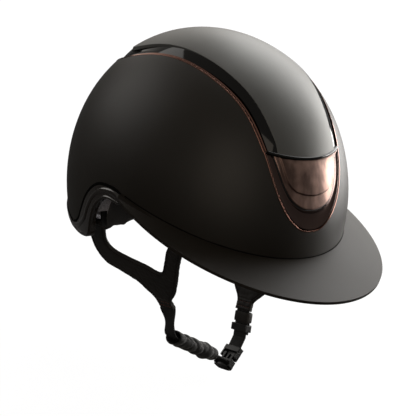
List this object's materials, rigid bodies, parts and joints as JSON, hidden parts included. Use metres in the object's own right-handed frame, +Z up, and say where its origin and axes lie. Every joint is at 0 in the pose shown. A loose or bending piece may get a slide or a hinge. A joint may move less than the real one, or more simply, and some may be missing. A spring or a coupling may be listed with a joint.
{
  "type": "riding helmet",
  "caption": "Egg-shaped riding helmet with a wide flat brim, raised crown panel and front plate, padded foam liner, and a chin harness with a sliding sleeve and a squeeze buckle.",
  "frame": {"origin": "middle of the head opening, at the level of the shell's front edge", "axes": "+Z up as worn, -Y the wearer's front (the brim), -X the wearer's right"},
  "size_m": [0.223, 0.332, 0.3005],
  "materials": {
    "shell_coating": "matt, fine-grained",
    "crown_lacquer": "satin metallic grey",
    "bezel_gloss": "high gloss",
    "rose_metal": "polished rose gold tone",
    "plate_bronze": "vertically brushed bronze tone",
    "frame_bronze": "gloss dark bronze",
    "dark_plastic": "moulded black",
    "brim_coating": "matt, fine-grained",
    "lining_cloth": "knitted lining",
    "trim_gloss": "gloss dark brown",
    "foam": "expanded bead foam",
    "pad_cloth": "soft black mesh",
    "strap_leather": "grained synthetic leather",
    "webbing": "ribbed woven webbing",
    "sleeve_cloth": "padded knitted cloth",
    "buckle_plastic": "moulded dark grey",
    "adjuster_plastic": "moulded grey",
    "bracket_metal": "dark plated"
  },
  "bodies": {
    "helmet": {"outer_shell": "shell_coating", "opening_rim": "rose_metal", "crown_carrier": "dark_plastic", "bezel_pinstripe": "rose_metal", "crown_bezel": "bezel_gloss", "crown_panel": "crown_lacquer", "plate_frame": "frame_bronze", "front_plate": "plate_bronze", "intake_grille": "dark_plastic", "brim": "brim_coating", "brim_lining": "lining_cloth", "edge_trim": "trim_gloss", "foam_liner": "foam", "crown_pad": "pad_cloth", "brow_pad": "pad_cloth", "nape_pad": "pad_cloth", "right_side_pad": "pad_cloth", "left_side_pad": "pad_cloth", "liner_dots": "webbing", "right_front_hanger": "bracket_metal", "right_rear_hanger": "bracket_metal", "left_front_hanger": "bracket_metal", "left_rear_hanger": "bracket_metal", "hanger_rivets": "bracket_metal"},
    "right_harness": {"right_y_strap": "strap_leather", "right_strap_tab": "strap_leather", "right_webbing": "webbing", "buckle_tongue": "buckle_plastic"},
    "left_harness": {"left_y_strap": "strap_leather", "left_strap_tab": "strap_leather", "left_webbing": "webbing", "webbing_tail": "webbing", "keeper_band": "strap_leather", "buckle_socket": "buckle_plastic", "socket_floor": "buckle_plastic", "socket_rail_front": "buckle_plastic", "socket_rail_rear": "buckle_plastic"},
    "chin_sleeve_body": {"chin_sleeve": "sleeve_cloth"},
    "adjuster_body": {"strap_adjuster": "adjuster_plastic"},
    "prong_front_body": {"prong_front": "buckle_plastic"},
    "prong_rear_body": {"prong_rear": "buckle_plastic"}
  },
  "joints": [
    {"name": "right_harness_swing", "type": "hinge", "parent": "helmet", "child": "right_harness", "pos_m": [-0.082, -0.06, -0.01], "axis": [0, 0.9171, -0.3987], "range_deg": [0, 35]},
    {"name": "left_harness_swing", "type": "hinge", "parent": "helmet", "child": "left_harness", "pos_m": [0.082, -0.06, -0.01], "axis": [0, -0.9171, 0.3987], "range_deg": [0, 20]},
    {"name": "chin_sleeve_slide", "type": "slide", "parent": "right_harness", "child": "chin_sleeve_body", "axis": [0.9092, -0.166, -0.3818], "range_m": [0, 0.005]},
    {"name": "adjuster_slide", "type": "slide", "parent": "left_harness", "child": "adjuster_body", "axis": [-0.1478, -0.3943, -0.907], "range_m": [-0.0015, 0.004]},
    {"name": "prong_front_squeeze", "type": "hinge", "parent": "right_harness", "child": "prong_front_body", "pos_m": [0.04021, -0.05281, -0.15297], "axis": [-0.7431, 0.2668, 0.6136], "range_deg": [0, 6], "stiffness_Nm_per_rad": 0.0001},
    {"name": "prong_rear_squeeze", "type": "hinge", "parent": "right_harness", "child": "prong_rear_body", "pos_m": [0.04021, -0.04291, -0.15728], "axis": [0.7431, -0.2668, -0.6136], "range_deg": [0, 6], "stiffness_Nm_per_rad": 0.0001}
  ],
  "couplings": [
    {"joint": "prong_rear_squeeze", "follows": "prong_front_squeeze", "ratio": 1}
  ]
}
